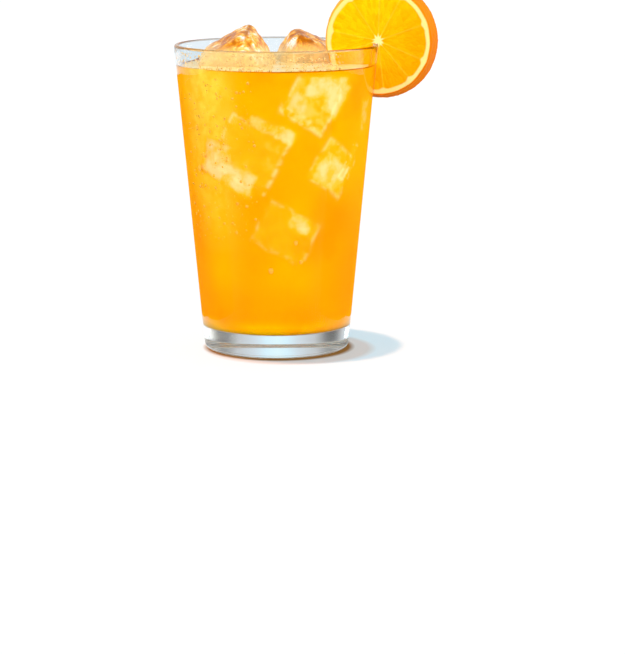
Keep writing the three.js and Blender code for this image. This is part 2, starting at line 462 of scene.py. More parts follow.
# The lip's darker tint is painted shade along the rim
for zone_share, zone_tint in ((above_juice, "#E6EEF2"), (lip_shade_share, "#A8988A")):
    glass_colour = add_node(
        glass_tree, "ShaderNodeMix",
        {0: zone_share, 6: glass_colour, 7: linear(zone_tint)}, data_type="RGBA",
    ).outputs[2]
glass_surface = add_node(
    glass_tree, "ShaderNodeBsdfPrincipled",
    {
        "Base Color": glass_colour, "Roughness": 0.0, "IOR": 1.5, "Transmission Weight": 1.0,
        "Specular Tint": linear("#303030"), "Normal": glass_ripple,
    },
)
glass_body = add_node(
    glass_tree, "ShaderNodeVolumeAbsorption", {"Color": (0.33, 0.57, 0.65, 1.0), "Density": 3.0}
)
glass_tree.links.new(glass_surface.outputs[0], glass_output.inputs["Surface"])
glass_tree.links.new(glass_body.outputs[0], glass_output.inputs["Volume"])

lip = WALL / 2
lip_height = GLASS_HEIGHT - lip
heel_centre = (BASE_RADIUS + wall_slope * HEEL_RADIUS - HEEL_RADIUS, HEEL_RADIUS)
fillet_height = FLOOR_THICKNESS + FLOOR_FILLET
fillet_centre = (inner_radius(fillet_height) - FLOOR_FILLET, fillet_height)
tumbler = turned(
    "tumbler",
    [
        (0, 0),
        *arc(heel_centre, HEEL_RADIUS, -math.pi / 2, -wall_lean, HEEL_STEPS),
        *arc((inner_radius(lip_height) + lip, lip_height), lip, -wall_lean, math.pi - wall_lean, LIP_STEPS),
        *arc(fillet_centre, FLOOR_FILLET, -wall_lean, -math.pi / 2, FILLET_STEPS),
        (0, FLOOR_THICKNESS),
    ],
    clear_glass,
)
tumbler.visible_shadow = False
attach(tumbler, "root")
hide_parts("glass")


# Ice cubes that stand out of the drink
# Clear frozen water from a tray, wet and half melted: rounded edges, hollowed faces, ripples.
# They float and lean on the cubes below them.
ICE_LEFT = {"edges": (27, 23, 25), "centre": (-16.9, 1.2, 126.6), "turn": (10, -30, -8), "squareness": 7}
ICE_RIGHT = {"edges": (25, 20, 25), "centre": (13.5, 21.0, 125.3), "turn": (8, 29, 10), "squareness": 5.5}
ICE_DENT = 0.022
ICE_WAVES = (2.9, 2.3, 2.6)
ICE_GRID = 44
CAVITY_GRID = 26
# Painted highlights, as white patches: across, height and width in millimetres, and strength
ICE_HIGHLIGHT_SPOTS = [(-12, 137.5, 4.5, 1.0), (-8, 131, 5, 0.8), (7, 134.5, 3, 0.9)]
ICE_RIPPLE = 0.45 * MM
ICE_RIPPLE_WIDTH = 3.2 * MM
CAVITY_SHRINK = 0.2 * MM


def ice_spin(turn):
    """The turning matrix of a cube, from degrees about X, Y and Z."""
    spins = [Matrix.Rotation(math.radians(a), 3, axis) for a, axis in zip(turn, "XYZ")]
    return np.array(spins[0] @ spins[1] @ spins[2])


def ice_mesh(edges, centre, turn, squareness, shrink=0.0, grid_steps=ICE_GRID):
    """Corners and faces of a half-melted cube, from millimetres and degrees about X, Y and Z."""
    shape = bmesh.new()
    bmesh.ops.create_cube(shape, size=2)
    bmesh.ops.subdivide_edges(shape, edges=shape.edges, cuts=grid_steps - 1, use_grid_fill=True)
    shape.verts.ensure_lookup_table()
    faces = [[v.index for v in f.verts] for f in shape.faces]
    grid = np.sin(np.array([v.co for v in shape.verts]) * math.pi / 2)
    shape.free()
    size = (np.abs(grid) ** squareness).sum(1) ** (1 / squareness)
    swell = np.sin(grid * ICE_WAVES + np.arange(3))
    dent = 1 + ICE_DENT * (swell[:, 0] * swell[:, 1] + swell[:, 2])
    half_edges = np.array(edges) * MM / 2 - shrink
    points = grid * (dent / size)[:, None] * half_edges
    outward = grid / np.linalg.norm(grid, axis=1)[:, None]
    seed = Vector(centre)
    ripple = [noise.noise(Vector(p) / ICE_RIPPLE_WIDTH + seed) for p in points]
    points += outward * (np.array(ripple) * ICE_RIPPLE)[:, None]
    return points @ ice_spin(turn).T + np.array(centre) * MM, faces


def keep_values(piece, name, values):
    """Keeps one value for each point of a piece, for its material to read."""
    piece.data.attributes.new(name, "FLOAT", "POINT").data.foreach_set("value", values)


def corner_share(points, cube):
    """How near points are to an edge of a cube: 0 in the middle of a face, about 0.9 on an edge."""
    local = (points - np.array(cube["centre"]) * MM) @ ice_spin(cube["turn"])
    return np.sort(np.abs(local) / (np.array(cube["edges"]) * MM / 2), axis=-1)[..., 1]


# Wet ice stained by juice: peach patches, white patches that are painted highlights, golden-brown edges and
# specks of trapped air
wet_ice, ice_tree, ice_output = new_material("wet_stained_ice")
ice_place = add_node(ice_tree, "ShaderNodeTexCoord")
ice_patches = add_node(
    ice_tree, "ShaderNodeTexNoise",
    {"Vector": ice_place.outputs["Object"], "Scale": 1 / (5 * MM), "Detail": 7.0, "Distortion": 1.2},
)
# Painted highlights lift the tone towards white at each spot
ice_highlight_share = add_node(ice_tree, "ShaderNodeAttribute", attribute_name="ice_highlight")
ice_lift = add_node(
    ice_tree, "ShaderNodeMapRange", {"Value": ice_highlight_share.outputs["Fac"], "To Min": -0.09, "To Max": 0.16}
)
ice_level = add_node(ice_tree, "ShaderNodeMath", {0: ice_patches, 1: ice_lift}, operation="ADD")
ice_tone = add_node(ice_tree, "ShaderNodeValToRGB", {"Fac": ice_level})
set_stops(ice_tone, [(0.36, "#B4640A"), (0.46, "#E8961A"), (0.55, "#FCC25A"), (0.68, "#FFFFFF")])
ice_edge = add_node(ice_tree, "ShaderNodeAttribute", attribute_name="ice_corner")
ice_rim = add_node(
    ice_tree, "ShaderNodeMapRange",
    {"Value": ice_edge.outputs["Fac"], "From Min": 0.78, "From Max": 0.9, "To Max": 0.95},
)
ice_specks = add_node(
    ice_tree, "ShaderNodeTexNoise",
    {"Vector": ice_place.outputs["Object"], "Scale": 1 / (0.9 * MM), "Detail": 1.0},
)
speck_share = add_node(
    ice_tree, "ShaderNodeMapRange",
    {"Value": ice_specks, "From Min": 0.57, "From Max": 0.63, "To Max": 0.7},
)
ice_axes = add_node(ice_tree, "ShaderNodeSeparateXYZ", {0: ice_place.outputs["Object"]})
ice_washed = add_node(
    ice_tree, "ShaderNodeMapRange",
    {"Value": ice_axes.outputs["Z"], "From Min": 136 * MM, "From Max": 131 * MM, "To Max": 0.7},
)
ice_colour = ice_tone.outputs["Color"]
for stain_share, stain_tint in ((ice_rim, "#A05A10"), (speck_share, "#B0640E"), (ice_washed, "#FFE4A2")):
    ice_colour = add_node(
        ice_tree, "ShaderNodeMix",
        {0: stain_share, 6: ice_colour, 7: linear(stain_tint)}, data_type="RGBA",
    ).outputs[2]
ice_pits = add_node(
    ice_tree, "ShaderNodeTexNoise",
    {"Vector": ice_place.outputs["Object"], "Scale": 1 / (1.6 * MM), "Detail": 3.0},
)
ice_bump = add_node(
    ice_tree, "ShaderNodeBump", {"Strength": 0.9, "Distance": 0.5 * MM, "Height": ice_pits}
)
ice_surface = add_node(
    ice_tree, "ShaderNodeBsdfPrincipled",
    {
        "Base Color": ice_colour, "Roughness": 0.05, "IOR": 1.31, "Transmission Weight": 0.15,
        "Normal": ice_bump, "Specular Tint": linear("#808080"), "Specular IOR Level": 0.15,
    },
)
ice_body = add_node(
    ice_tree, "ShaderNodeVolumeAbsorption", {"Color": (1.0, 0.82, 0.4, 1.0), "Density": 20.0}
)
ice_tree.links.new(ice_surface.outputs[0], ice_output.inputs["Surface"])
ice_tree.links.new(ice_body.outputs[0], ice_output.inputs["Volume"])

for name, cube in (("ice_cube_left", ICE_LEFT), ("ice_cube_right", ICE_RIGHT)):
    points, faces = ice_mesh(**cube)
    piece = new_piece(name, points, faces, wet_ice)
    keep_values(piece, "ice_corner", corner_share(points, cube))
    # White patches at each spot, painted highlights
    white = np.zeros(len(points))
    for spot_across, spot_height, spot_width, strength in ICE_HIGHLIGHT_SPOTS:
        apart = np.hypot(points[:, 0] / MM - spot_across, points[:, 2] / MM - spot_height) / spot_width
        white = np.maximum(white, strength * np.exp(-apart ** 2))
    keep_values(piece, "ice_highlight", white)
    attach(piece, "root")
    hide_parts(name.replace("_cube", ""))


# Sunk ice cubes
# Four cubes held under by the ones above, close behind the front wall of the tumbler.
# Their faces are frosted where the juice has eaten into them.
# Each has its edges, angle round from the front, height and gap to the wall,
# its lean in the wall's plane and its tip away from it, in millimetres and degrees.
SUNK_ICE = [
    {"edges": (19, 11, 17), "round": 26, "height": 112, "gap": 0.8, "lean": 31, "tip": 8},
    {"edges": (24, 12, 23), "round": -19, "height": 91, "gap": 0.8, "lean": 28, "tip": 8},
    {"edges": (16, 11, 15), "round": 43, "height": 84, "gap": 0.8, "lean": 34, "tip": 8},
    {"edges": (24, 18, 18), "round": 7, "height": 56, "gap": 4, "lean": 28, "tip": 14},
]
SUNK_SQUARENESS = 8
FIT_STEPS = 20


def sunk_cube(edges, round, height, gap, lean, tip):
    """The arguments of ice_mesh for a cube that stands just inside the wall."""
    angle = math.radians(round)
    about_wall = Matrix.Rotation(angle, 3, "Z") @ Matrix.Rotation(math.radians(lean), 3, "Y")
    turned_euler = (about_wall @ Matrix.Rotation(math.radians(tip), 3, "X")).to_euler("ZYX")
    cube = {"edges": edges, "turn": [math.degrees(a) for a in turned_euler], "squareness": SUNK_SQUARENESS}
    loose, _ = ice_mesh(centre=(0, 0, height), **cube)
    towards = np.array((math.sin(angle), -math.cos(angle), 0))
    wall = inner_radius(loose[:, 2]) - gap * MM
    low, high = 0.0, RIM_RADIUS
    for _ in range(FIT_STEPS):
        reach = (low + high) / 2
        shifted = loose + towards * reach
        fits = (np.hypot(shifted[:, 0], shifted[:, 1]) < wall).all()
        low, high = (reach, high) if fits else (low, reach)
    centre = towards * low / MM
    return {"centre": (centre[0], centre[1], height), **cube}


# Frosted ice: whitish with clearer clouds, and a finely pitted skin
frosted_ice, frost_tree, frost_output = new_material("frosted_ice")
frost_place = add_node(frost_tree, "ShaderNodeTexCoord")
frost_cloud = add_node(
    frost_tree, "ShaderNodeTexNoise",
    {"Vector": frost_place.outputs["Object"], "Scale": 1 / (9 * MM), "Detail": 4.0},
)
frost_clear = add_node(
    frost_tree, "ShaderNodeMapRange",
    {"Value": frost_cloud, "From Min": 0.38, "From Max": 0.62, "To Min": 0.95, "To Max": 0.45},
)
frost_grain = add_node(
    frost_tree, "ShaderNodeTexNoise",
    {"Vector": frost_place.outputs["Object"], "Scale": 1 / (1.6 * MM), "Detail": 2.0},
)
frost_bump = add_node(
    frost_tree, "ShaderNodeBump", {"Strength": 0.4, "Distance": 0.3 * MM, "Height": frost_grain}
)
frost_surface = add_node(
    frost_tree, "ShaderNodeBsdfPrincipled",
    {
        "Base Color": linear("#FFFDF8"), "Roughness": 0.12, "IOR": 1.31,
        "Transmission Weight": frost_clear, "Normal": frost_bump,
    },
)
frost_tree.links.new(frost_surface.outputs[0], frost_output.inputs["Surface"])

sunk_cubes = [sunk_cube(**cube) for cube in SUNK_ICE]
for number, cube in enumerate(sunk_cubes, 1):
    piece = new_piece(f"sunk_ice_cube_{number}", *ice_mesh(**cube), frosted_ice)
    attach(piece, "root")


# Juice
# Strained orange juice with fine pulp, paler where ice lies close behind the wall. It reaches just into
# the wall so that no air shows, fills to 9 mm below the rim, and climbs a little where it wets the glass.
JUICE_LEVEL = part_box("juice")[1].z
INTO_WALL = 0.4 * MM
MENISCUS = 0.5 * MM
MENISCUS_WIDTH = 1.1 * MM
CLIMB_STEPS = (0, 0.25, 0.5, 0.8, 1.2, 1.7, 2.3, 3.0, 4.0, 5.5)
JUICE_RING_SPACING = 0.8 * MM
JUICE_CREASE = math.radians(40)
FILM_DEPTH = 0.05 * MM
FILM_SLOPE = 0.7
SETTLED_SLOPE = -0.9
SETTLED_SLOPE_BEHIND = -0.3
SETTLED_FROM = 8 * MM

# Strained juice: pulp glows orange, and is paler where only a thin layer covers the ice
orange_juice, juice_tree, juice_output = new_material("strained_orange_juice")
juice_place = add_node(juice_tree, "ShaderNodeTexCoord")
juice_axes = add_node(juice_tree, "ShaderNodeSeparateXYZ", {0: juice_place.outputs["Object"]})
juice_rise = add_node(
    juice_tree, "ShaderNodeMapRange",
    {"Value": juice_axes.outputs["Z"], "From Min": FLOOR_THICKNESS, "From Max": JUICE_LEVEL + MENISCUS},
)
# Deeper orange lower down; the bright yellow at the very bottom is painted light, and the dark brown band
# at the meniscus is a painted shade line
juice_by_height = add_node(juice_tree, "ShaderNodeValToRGB", {"Fac": juice_rise})
set_stops(
    juice_by_height,
    [
        (0, "#FFC800"), (0.03, "#FFB400"), (0.06, "#FF9E00"), (0.14, "#FF9A00"), (0.3, "#FF9C00"),
        (0.5, "#FFA200"), (0.75, "#FFA800"), (0.9957, "#FFAA00"), (0.9964, "#8A4A00"), (1, "#8A4A00"),
    ],
)
# Tints that lie over one another, each with the node that gives its share
juice_layers = []

# Slow swirls of thicker and thinner pulp
juice_swirl = add_node(
    juice_tree, "ShaderNodeTexNoise",
    {"Vector": juice_place.outputs["Object"], "Scale": 1 / (22 * MM), "Detail": 3.0},
)
swirl_share = add_node(
    juice_tree, "ShaderNodeMapRange",
    {"Value": juice_swirl, "From Min": 0.48, "From Max": 0.7, "To Max": 0.6},
)
juice_layers.append((swirl_share, "#FF8A00"))

# Yellower and deeper places, partly pulp and partly painted light and shade, kept on the points of the
# juice
pulp_and_light_share = add_node(juice_tree, "ShaderNodeAttribute", attribute_name="pulp_and_light")
for patch_end, patch_colour in ((1, "#FFC000"), (-1, "#FF8400")):
    pulp_and_light_weight = add_node(
        juice_tree, "ShaderNodeMapRange",
        {"Value": pulp_and_light_share.outputs["Fac"], "From Max": patch_end, "To Max": 0.8},
    )
    juice_layers.append((pulp_and_light_weight, patch_colour))

# A paler band down the wall on the left, a painted reflection of the light on that side, that thins out
# downwards
juice_front = add_node(
    juice_tree, "ShaderNodeMath", {0: juice_axes.outputs["Y"], 1: -1.0}, operation="MULTIPLY"
)
juice_round = add_node(
    juice_tree, "ShaderNodeMath", {0: juice_axes.outputs["X"], 1: juice_front}, operation="ARCTAN2"
)
left_reflection = add_node(
    juice_tree, "ShaderNodeMapRange",
    {"Value": juice_axes.outputs["Z"], "From Min": 45 * MM, "From Max": 118 * MM, "To Max": 0.8},
)
for start_angle, end_angle in ((-72, -52), (-20, -44)):
    fade = add_node(
        juice_tree, "ShaderNodeMapRange",
        {"Value": juice_round, "From Min": math.radians(start_angle), "From Max": math.radians(end_angle)},
        interpolation_type="SMOOTHSTEP",
    )
    left_reflection = add_node(juice_tree, "ShaderNodeMath", {0: left_reflection, 1: fade}, operation="MULTIPLY")

# Frosted faces of ice close behind the wall: cloudy and pale, with painted glints along their broken edges
ice_cloud = add_node(
    juice_tree, "ShaderNodeTexNoise",
    {"Vector": juice_place.outputs["Object"], "Scale": 1 / (5 * MM), "Detail": 6.0},
)
cloud_share = add_node(
    juice_tree, "ShaderNodeMapRange",
    {"Value": ice_cloud, "From Min": 0.36, "From Max": 0.62, "To Min": 0.4, "To Max": 1.15},
)
pale_ice = add_node(juice_tree, "ShaderNodeAttribute", attribute_name="pale_ice")
painted_glint = add_node(juice_tree, "ShaderNodeAttribute", attribute_name="painted_glint")
paleness = add_node(
    juice_tree, "ShaderNodeMath", {0: pale_ice.outputs["Fac"], 1: cloud_share}, operation="MULTIPLY"
)
# The painted reflection on the left is broken up by the same clouds
left_reflection_share = add_node(juice_tree, "ShaderNodeMath", {0: left_reflection, 1: cloud_share}, operation="MULTIPLY")
juice_layers.append((left_reflection_share, "#FFDA4C"))
for ice_start, ice_full, ice_tint in ((0.0, 0.35, "#FFB814"), (0.26, 0.98, "#FFD28C")):
    tint_share = add_node(
        juice_tree, "ShaderNodeMapRange", {"Value": paleness, "From Min": ice_start, "From Max": ice_full}
    )
    juice_layers.append((tint_share, ice_tint))
# Painted glints along the edges of the frosted faces, broken into dashes
glint_grain = add_node(
    juice_tree, "ShaderNodeTexNoise",
    {"Vector": juice_place.outputs["Object"], "Scale": 1 / (5 * MM), "Detail": 2.0},
)
glint_break = add_node(
    juice_tree, "ShaderNodeMapRange",
    {"Value": glint_grain, "From Min": 0.42, "From Max": 0.6, "To Max": 0.9},
)
glint = add_node(
    juice_tree, "ShaderNodeMath", {0: painted_glint.outputs["Fac"], 1: glint_break}, operation="MULTIPLY"
)
juice_layers.append((glint, "#FFEAA8"))
juice_colour = juice_by_height.outputs["Color"]
for layer_share, layer_tint in juice_layers:
    juice_colour = add_node(
        juice_tree, "ShaderNodeMix",
        {0: layer_share, 6: juice_colour, 7: linear(layer_tint)}, data_type="RGBA",
    ).outputs[2]
juice_surface = add_node(
    juice_tree, "ShaderNodeBsdfPrincipled",
    {
        "Base Color": juice_colour, "Roughness": 0.0, "IOR": 1.34, "Transmission Weight": 0.18,
        "Specular Tint": linear("#202020"),
    },
)
juice_body = add_node(
    juice_tree, "ShaderNodeVolumeAbsorption", {"Color": linear("#FFFA00"), "Density": 120.0}
)
juice_tree.links.new(juice_surface.outputs[0], juice_output.inputs["Surface"])
juice_tree.links.new(juice_body.outputs[0], juice_output.inputs["Volume"])

# The film on top of the juice: pulp and fine froth that float up, in pale and golden streaks;
# the paleness is partly a painted reflection
pulp_film_and_reflection, film_tree, film_output = new_material("floating_pulp_and_reflection")
film_place = add_node(film_tree, "ShaderNodeTexCoord")
film_stretch = add_node(
    film_tree, "ShaderNodeMapping",
    {"Vector": film_place.outputs["Object"], "Scale": (1 / (6 * MM), 1 / (10 * MM), 1.0)},
)
film_streaks = add_node(
    film_tree, "ShaderNodeTexNoise",
    {"Vector": film_stretch, "Scale": 1.0, "Detail": 5.0, "Distortion": 0.4},
)
film_tone = add_node(film_tree, "ShaderNodeValToRGB", {"Fac": film_streaks})
set_stops(film_tone, [(0.36, "#FCCA68"), (0.46, "#FED27C"), (0.56, "#FFDC98"), (0.7, "#FFECC0")])
film_surface = add_node(
    film_tree, "ShaderNodeBsdfPrincipled",
    {"Base Color": film_tone.outputs["Color"], "Roughness": 0.3, "IOR": 1.34},
)
film_tree.links.new(film_surface.outputs[0], film_output.inputs["Surface"])

# Pale pulp that has settled in a thin layer on the floor of the tumbler, seen through its base,
# painted near white as light on the juice's underside
settled_pulp_and_light, settled_tree, settled_output = new_material("settled_pulp_and_light")
settled_place = add_node(settled_tree, "ShaderNodeTexCoord")
settled_grain = add_node(
    settled_tree, "ShaderNodeTexNoise",
    {"Vector": settled_place.outputs["Object"], "Scale": 1 / (3 * MM), "Detail": 4.0},
)
settled_tone = add_node(
    settled_tree, "ShaderNodeMix",
    {0: settled_grain, 6: linear("#FFF0D8"), 7: linear("#FFFFFF")}, data_type="RGBA",
)
settled_surface = add_node(
    settled_tree, "ShaderNodeBsdfPrincipled",
    {"Base Color": settled_tone.outputs[2], "Roughness": 0.6, "IOR": 1.34},
)
settled_tree.links.new(settled_surface.outputs[0], settled_output.inputs["Surface"])


def cut_away(piece, cutter, material):
    """Cuts the shape of a cutter out of a piece, and removes the cutter."""
    cut = piece.modifiers.new("cut", "BOOLEAN")
    cut.operation = "DIFFERENCE"
    cut.solver = "MANIFOLD"
    cut.object = cutter
    settle(piece, material)
    bpy.data.objects.remove(cutter)


level_radius = inner_radius(JUICE_LEVEL)
climb = [
    (level_radius - d * MM, JUICE_LEVEL + MENISCUS * math.exp(-d * MM / MENISCUS_WIDTH))
    for d in CLIMB_STEPS
]
juice = turned(
    "juice_fill",
    [
        (0, FLOOR_THICKNESS - INTO_WALL),
        *arc(fillet_centre, FLOOR_FILLET + INTO_WALL, -math.pi / 2, -wall_lean, FILLET_STEPS),
        (level_radius + INTO_WALL, JUICE_LEVEL + MENISCUS),
        *climb,
        (0, JUICE_LEVEL),
    ],
    orange_juice,
    JUICE_RING_SPACING,
)

for name, cube in (("left", ICE_LEFT), ("right", ICE_RIGHT)):
    cutter = new_piece(f"cutter_{name}", *ice_mesh(**cube, shrink=CAVITY_SHRINK, grid_steps=CAVITY_GRID))
    cut_away(juice, cutter, orange_juice)

shape = bmesh.new()
shape.from_mesh(juice.data)
for cube in sunk_cubes:
    points, faces = ice_mesh(**cube, shrink=CAVITY_SHRINK, grid_steps=CAVITY_GRID)
    made = [shape.verts.new(p) for p in points]
    for face in faces:
        shape.faces.new([made[i] for i in reversed(face)])
shape.to_mesh(juice.data)
shape.free()
juice.data.polygons.foreach_set("use_smooth", [True] * len(juice.data.polygons))
juice.data.set_sharp_from_angle(angle=JUICE_CREASE)
juice.data.materials.append(pulp_film_and_reflection)
juice.data.materials.append(settled_pulp_and_light)
for face in juice.data.polygons:
    middle = face.center
    inside = math.hypot(middle.x, middle.y) < level_radius - MENISCUS_WIDTH
    settled_slope = SETTLED_SLOPE_BEHIND if middle.y > SETTLED_FROM else SETTLED_SLOPE
    if inside and face.normal.z > FILM_SLOPE and middle.z > JUICE_LEVEL - FILM_DEPTH:
        face.material_index = 1
    elif middle.z < fillet_height and face.normal.z < settled_slope:
        face.material_index = 2

# Where the ice shows through the juice, kept on each point of the wall.
# Each frosted face has its angle from the front, height, half width, half height, turn, frost and painted
# edge glint.
FROSTED_FACES = [
    (23, 114.6, 11, 11.5, 31, 0.38, 0.55), (32, 119.5, 10, 4.5, 6, 1.1, 0),
    (38, 115, 4.5, 7.5, 32, 1.0, 0), (13, 113, 4, 5, 30, 0.8, 0),
    (15, 106.5, 8, 0.6, 29, 0.5, 0.5), (-18, 91, 13.5, 12.8, 28, 0.27, 0.5),
    (-34, 82.5, 13.5, 4.8, 25, 1.1, 0), (-40, 88.5, 7, 7.5, 10, 0.85, 0),
    (-20, 79, 3.5, 1.6, 28, 1.15, 0), (6, 99.5, 3, 2, 28, 1.1, 0),
    (-7.4, 104, 6.5, 1, 26, 0.55, 0.4), (40, 84, 10, 9.3, 34, 0.3, 0.3),
    (36.5, 83.3, 5.8, 6.3, 34, 0.88, 0), (53, 86, 1.6, 8, 34, 0.6, 0.8),
    (6.7, 56.6, 12.5, 9.5, 28, 0.19, 0.25), (16, 59.7, 4.5, 3, 20, 0.85, 0),
    (68, 105.6, 3.5, 7, 0, 0.5, 0),
]
FROST_SOFTNESS = (1.4 * MM, 2.4 * MM)
FROST_EDGE_WIDTH = 0.8 * MM
FROST_WOBBLE = 0.9 * MM
FROST_WOBBLE_WIDTH = 7 * MM
FROST_FADE = (0.5 * MM, 3 * MM)
WALL_REACH = 0.1 * MM
# Places where the juice is yellower or deeper: partly thinner and thicker pulp, partly painted light
# towards the sides and painted shade beside the sunk ice. Angle, height, width and strength
PULP_AND_LIGHT_SPOTS = [
    (-4, 105, 10, 0.4), (-30, 120, 12, 0.5), (-68, 120, 12, 0.9), (-60, 82, 15, 0.8),
    (-43, 60, 12, 0.6), (-45, 38, 12, 0.6), (7, 38, 13, 0.6), (12, 66, 8, 0.4),
    (70, 103, 10, 0.6), (43, 62, 10, -0.7), (24, 50, 7, -0.5), (57, 112, 7, -0.5),
    (76, 84, 16, 0.6),
]


def smooth_step(value, low, high):
    """0 below low, 1 above high, smooth between."""
    share = np.clip((value - low) / (high - low), 0, 1)
    return share * share * (3 - 2 * share)


spots = np.array([v.co for v in juice.data.vertices])
radius = np.hypot(spots[:, 0], spots[:, 1])
around = np.degrees(np.arctan2(spots[:, 0], -spots[:, 1]))
wobble = np.array([noise.noise(Vector(p) / FROST_WOBBLE_WIDTH) for p in spots]) * FROST_WOBBLE
pale_ice_values = np.zeros(len(spots))
painted_glint_values = np.zeros(len(spots))
pulp_and_light_values = np.zeros(len(spots))
for face_round, face_height, half_across, half_up, face_turn, frost, edge in FROSTED_FACES:
    across = np.radians(around - face_round) * radius
    rise = spots[:, 2] - face_height * MM
    cosine, sine = math.cos(math.radians(face_turn)), math.sin(math.radians(face_turn))
    past_side = np.abs(across * cosine - rise * sine) - half_across * MM
    past_end = np.abs(across * sine + rise * cosine) - half_up * MM
    apart = np.hypot(np.maximum(past_side, 0), np.maximum(past_end, 0))
    apart += np.minimum(np.maximum(past_side, past_end), 0) + wobble
    softness = FROST_SOFTNESS[0] if edge else FROST_SOFTNESS[1]
    pale_ice_values = np.maximum(pale_ice_values, frost * smooth_step(-apart, -softness, softness))
    painted_glint_values = np.maximum(painted_glint_values, edge * np.exp(-(apart / FROST_EDGE_WIDTH) ** 2))
for patch_round, patch_height, patch_width, strength in PULP_AND_LIGHT_SPOTS:
    across = np.radians(around - patch_round) * radius
    apart = np.hypot(across, spots[:, 2] - patch_height * MM) / (patch_width * MM)
    pulp_and_light_values += strength * np.exp(-apart ** 2)
on_wall = radius > inner_radius(spots[:, 2]) - WALL_REACH
shows = on_wall * smooth_step(JUICE_LEVEL - spots[:, 2], *FROST_FADE)
keep_values(juice, "pale_ice", pale_ice_values * shows)
keep_values(juice, "painted_glint", painted_glint_values * shows)
keep_values(juice, "pulp_and_light", pulp_and_light_values)
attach(juice, "root")
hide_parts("juice")


# Orange slice
# A wheel of fresh orange cut 7 mm thick: zest outside, white pith, ten segments of juice sacs
# between thin membranes, and a pithy core. A slit lets it sit on the rim of the tumbler.
SLICE_CENTRE = np.array((46, 0.4, 137.1)) * MM
SLICE_TURN = math.radians(16.7)
SLICE_FRONT_RADIUS = 24.2 * MM
SLICE_BACK_RADIUS = 25.6 * MM
SLICE_THICKNESS = 7 * MM
RIND_ROUNDING = 1 * MM
ZEST_RADIUS = 23.4 * MM
FLESH_RADIUS = 21.6 * MM
CORE_RADIUS = 1.4 * MM
SEGMENTS = 10
SEGMENT_PHASE = 0.35
SEGMENT_SWAY = 0.105
SEGMENT_SWAY_WAVE = 1.9
MEMBRANE = 0.8 * MM
FLESH_DEPTH = 0.25 * MM
SAC_LENGTH = 3.0 * MM
SAC_WIDTH = 1.1 * MM
SAC_SWELL = 0.15 * MM
SLIT_CLEARANCE = 0.12 * MM
SLIT_TOP = GLASS_HEIGHT + SLIT_CLEARANCE
SLIT_BOTTOM = 100 * MM
SLICE_STEPS = 360
SLICE_CREASE = math.radians(50)
FRONT_RINGS = 96
BACK_RINGS = 72
SIDE_RINGS = 14
ROUNDING_RINGS = 6
WAVER_RATES = (300, 4)
ZEST_WAVER = 0.25 * MM
ZEST_BLUR = 0.2 * MM
PITH_BLUR = 0.3 * MM
NOTCH_DEPTH = 0.9 * MM
NOTCH_WIDTH = 1.3 * MM
MEMBRANE_BLUR = (0.15, 0.6)
STAR_LENGTH = 1.1
STAR_WIDTH = 0.5 * MM
CORE_WAVER = 0.6 * MM
CORE_BLUR = (0.6, 1.15)
SAC_SEED = 7
SAC_RING_SHARE = 0.62
SAC_WAVER = 0.3
SAC_EDGE = 2.2
FACE_MARGINS = (0.02 * MM, 0.01 * MM)
PORE_DEPTH = 0.14 * MM
PORE_WIDTH = 1.1 * MM
# Painted shade: the flesh turns deeper orange towards the lower right, and the zest darker low on the right
FLESH_SHADE_SLOPE = 0.5
FLESH_SHADE_REACH = (-12 * MM, 26 * MM)
RIGHT_ZEST_REACH = (-16 * MM, -2 * MM)
ZEST_SHADE_SLOPE = 0.6
ZEST_SHADE_REACH = (-6 * MM, 26 * MM)
rng = np.random.default_rng(SAC_SEED)
slice_right = np.array((math.cos(SLICE_TURN), -math.sin(SLICE_TURN), 0))
slice_front = np.array((-math.sin(SLICE_TURN), -math.cos(SLICE_TURN), 0))
slice_up = np.array((0, 0, 1))
membrane_angles = np.array([
    SEGMENT_PHASE + 2 * math.pi * i / SEGMENTS + SEGMENT_SWAY * math.sin(SEGMENT_SWAY_WAVE * i)
    for i in range(SEGMENTS)
])

# One seed for each juice sac, on a grid of rows from core to pith
sac_rows = int(FLESH_RADIUS / SAC_LENGTH) + 1
sac_columns = int(2 * math.pi * FLESH_RADIUS * SAC_RING_SHARE / SAC_WIDTH)
sac_grid = np.array(
    [(row, column) for row in range(sac_rows) for column in range(-2, sac_columns + 2)], float
)
sac_grid += rng.uniform(0.1, 0.9, sac_grid.shape)
sac_tree = KDTree(len(sac_grid))
for number, seed in enumerate(sac_grid):
    sac_tree.insert((*seed, 0), number)
sac_tree.balance()
sac_tones = rng.uniform(0, 1, len(sac_grid))


